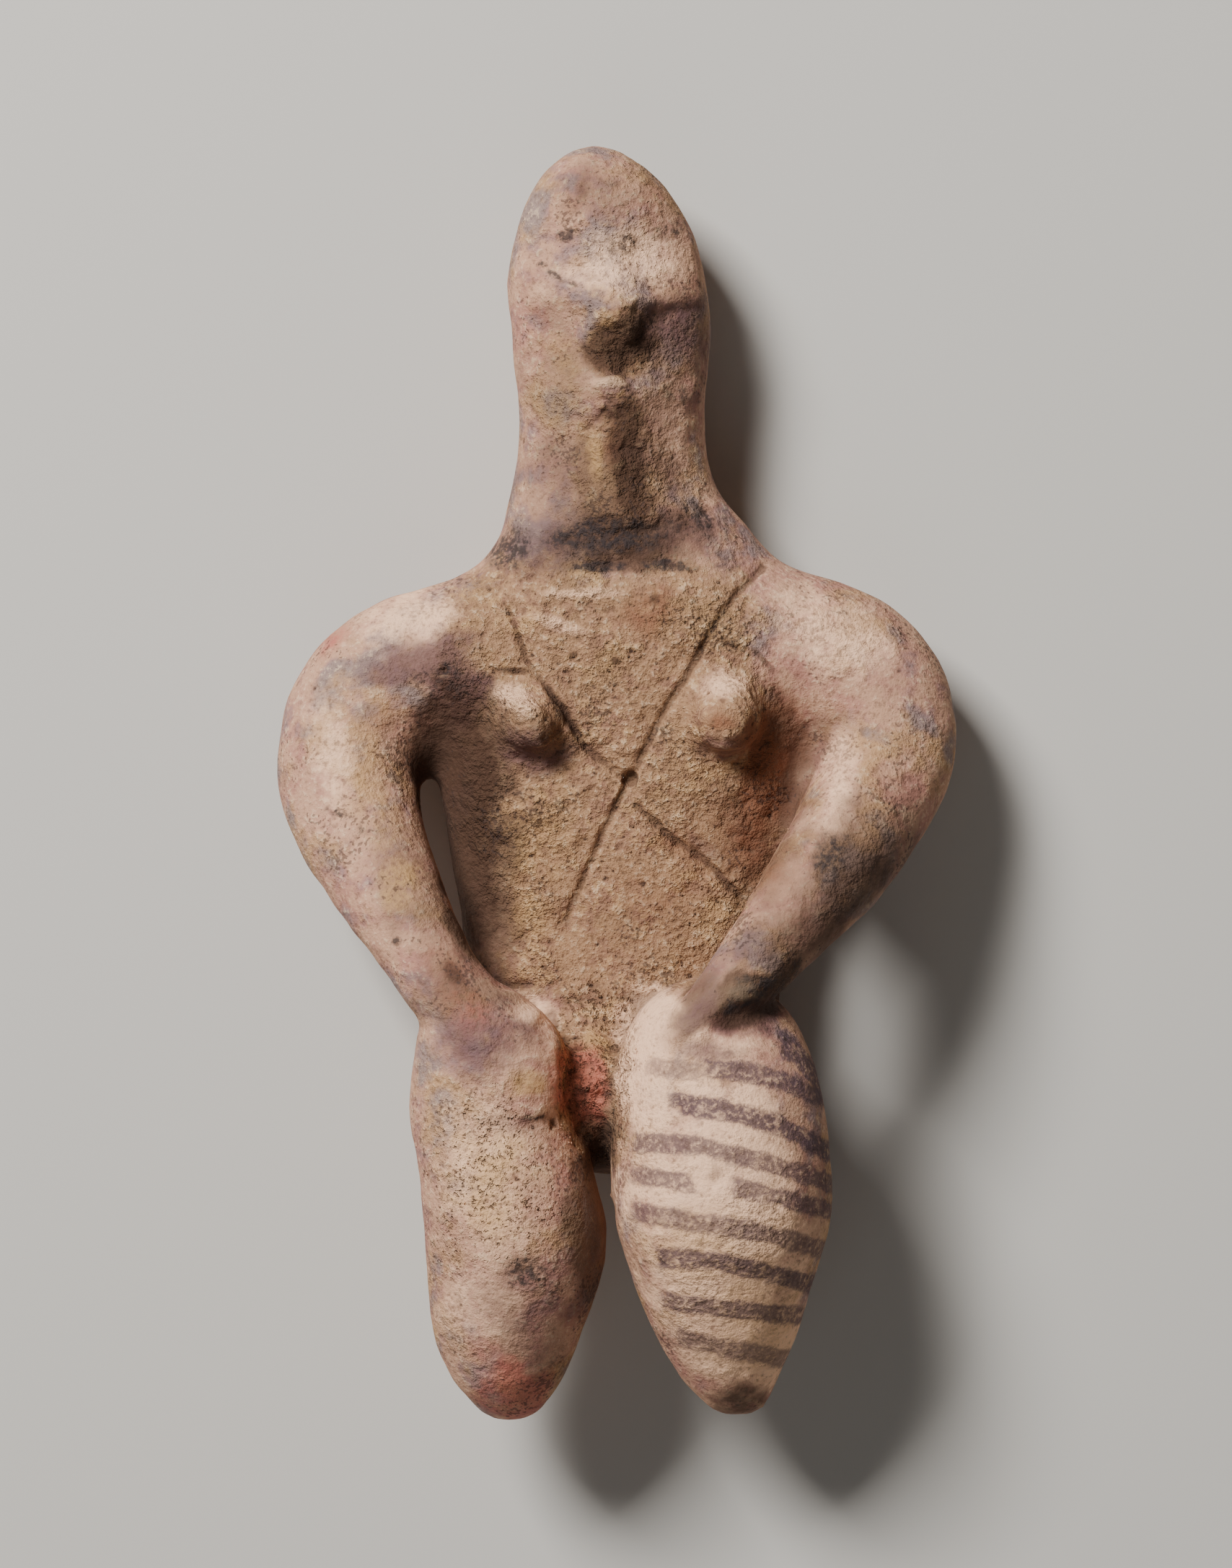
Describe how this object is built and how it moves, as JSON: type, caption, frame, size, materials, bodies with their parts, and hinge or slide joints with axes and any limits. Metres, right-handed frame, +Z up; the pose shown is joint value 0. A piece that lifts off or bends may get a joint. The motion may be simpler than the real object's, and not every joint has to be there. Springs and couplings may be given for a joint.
{
  "type": "figurine",
  "caption": "Hand-modelled terracotta figurine with a tall head, looped arms resting on bent knees, crossed bands scored over the chest and tapering lower legs.",
  "frame": {"origin": "on the resting surface, under the middle of the bounding box of the figurine lying on its back", "axes": "+Y along the figure from the feet to the crown, +Z up out of the chest, +X to the right of someone who looks down at the face"},
  "size_m": [0.0694, 0.1304, 0.0341],
  "materials": {
    "terracotta": "unglazed, matt and sandy, worn and stained"
  },
  "bodies": {
    "root": {"figurine": "terracotta"}
  },
  "joints": []
}
